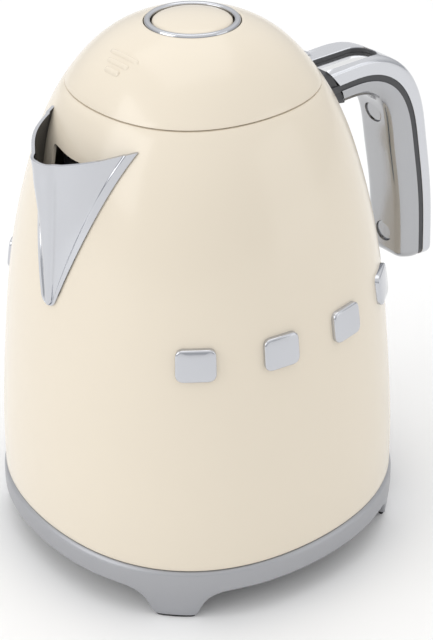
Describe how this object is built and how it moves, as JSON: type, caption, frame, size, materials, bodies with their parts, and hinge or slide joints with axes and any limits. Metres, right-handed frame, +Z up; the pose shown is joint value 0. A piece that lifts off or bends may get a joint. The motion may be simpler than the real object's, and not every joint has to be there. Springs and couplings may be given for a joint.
{
  "type": "electric kettle",
  "caption": "Cordless electric kettle: domed enamelled body with V spout, open D handle, hinged lid with press button, lifting off and turning on a footed power base.",
  "frame": {"origin": "centre of the bounding box at floor level, under the kettle and handle", "axes": "+Z up; the spout points to -X and the handle to +X; +Y is across the kettle"},
  "size_m": [0.2225, 0.1728, 0.2389],
  "materials": {
    "cream_enamel": "gloss",
    "bright_chrome": "polished",
    "satin_metal": "satin",
    "dark_grey_plastic": "matt",
    "black_plastic": "matt",
    "black_rubber": "matt",
    "plain_steel": "brushed",
    "contact_brass": "polished",
    "silicone_seal": "matt",
    "clear_window": "gloss"
  },
  "bodies": {
    "power_base": {"base_skirt_ring": "satin_metal", "foot_pad_front_left": "black_rubber", "foot_pad_front_right": "black_rubber", "foot_pad_rear_left": "black_rubber", "foot_pad_rear_right": "black_rubber", "base_deck": "black_plastic", "base_bottom_cover": "black_plastic", "base_screw_1": "plain_steel", "base_screw_2": "plain_steel", "base_screw_3": "plain_steel", "base_contact_post": "black_plastic", "base_contact_ring": "contact_brass", "base_contact_pin": "contact_brass", "cord_gland": "black_plastic"},
    "connector": {"connector_socket": "black_plastic"},
    "lid": {"lid_shell": "cream_enamel", "lid_liner": "plain_steel", "lid_seal": "silicone_seal", "lid_knuckle": "bright_chrome", "button_ring": "bright_chrome", "button_guide": "dark_grey_plastic", "button_spring": "plain_steel"},
    "button": {"lid_button": "cream_enamel"},
    "latch": {"lid_latch": "dark_grey_plastic"},
    "switch": {"switch_lever": "bright_chrome"},
    "kettle": {"body_shell": "cream_enamel", "spout_shell": "bright_chrome", "handle_outer_shell": "bright_chrome", "handle_inner_shell": "bright_chrome", "handle_slot_liner": "bright_chrome", "handle_screw_plug_1": "bright_chrome", "handle_screw_plug_2": "bright_chrome", "hinge_ears": "bright_chrome", "badge_1": "bright_chrome", "badge_2": "bright_chrome", "badge_3": "bright_chrome", "badge_4": "bright_chrome", "badge_5": "bright_chrome", "badge_6": "bright_chrome", "badge_7": "bright_chrome", "badge_8": "bright_chrome", "handle_core": "dark_grey_plastic", "control_module": "dark_grey_plastic", "strainer_frame": "dark_grey_plastic", "kettle_bottom_cover": "black_plastic", "heater_plate": "plain_steel", "heater_element": "plain_steel", "cover_screw_1": "plain_steel", "cover_screw_2": "plain_steel", "cover_screw_3": "plain_steel", "switch_pivot_pin": "plain_steel", "steam_tube": "plain_steel", "strainer_mesh": "plain_steel", "handle_screw_1": "plain_steel", "handle_screw_2": "plain_steel", "hinge_pin": "plain_steel", "level_window_seal": "silicone_seal", "level_window": "clear_window"}
  },
  "joints": [
    {"name": "kettle_lift", "type": "slide", "parent": "power_base", "child": "connector", "axis": [0, 0, 1], "range_m": [0, 0.08]},
    {"name": "kettle_swivel", "type": "hinge", "parent": "connector", "child": "kettle", "pos_m": [-0.0253, 0, 0.03], "axis": [0, 0, 1], "continuous": true},
    {"name": "lid_hinge", "type": "hinge", "parent": "kettle", "child": "lid", "pos_m": [0.0301, 0, 0.2088], "axis": [0, 1, 0], "range_deg": [0, 75]},
    {"name": "button_press", "type": "slide", "parent": "lid", "child": "button", "axis": [0, 0, -1], "range_m": [0, 0.0028], "stiffness_N_per_m": 700, "deforming": ["button_spring"]},
    {"name": "latch_slide", "type": "slide", "parent": "lid", "child": "latch", "axis": [1, 0, 0], "range_m": [0, 0.0028]},
    {"name": "switch_rock", "type": "hinge", "parent": "kettle", "child": "switch", "pos_m": [0.0457, 0, 0.0356], "axis": [0, 1, 0], "range_deg": [0, 12]}
  ],
  "couplings": [
    {"joint": "latch_slide", "follows": "button_press", "ratio": 1}
  ]
}
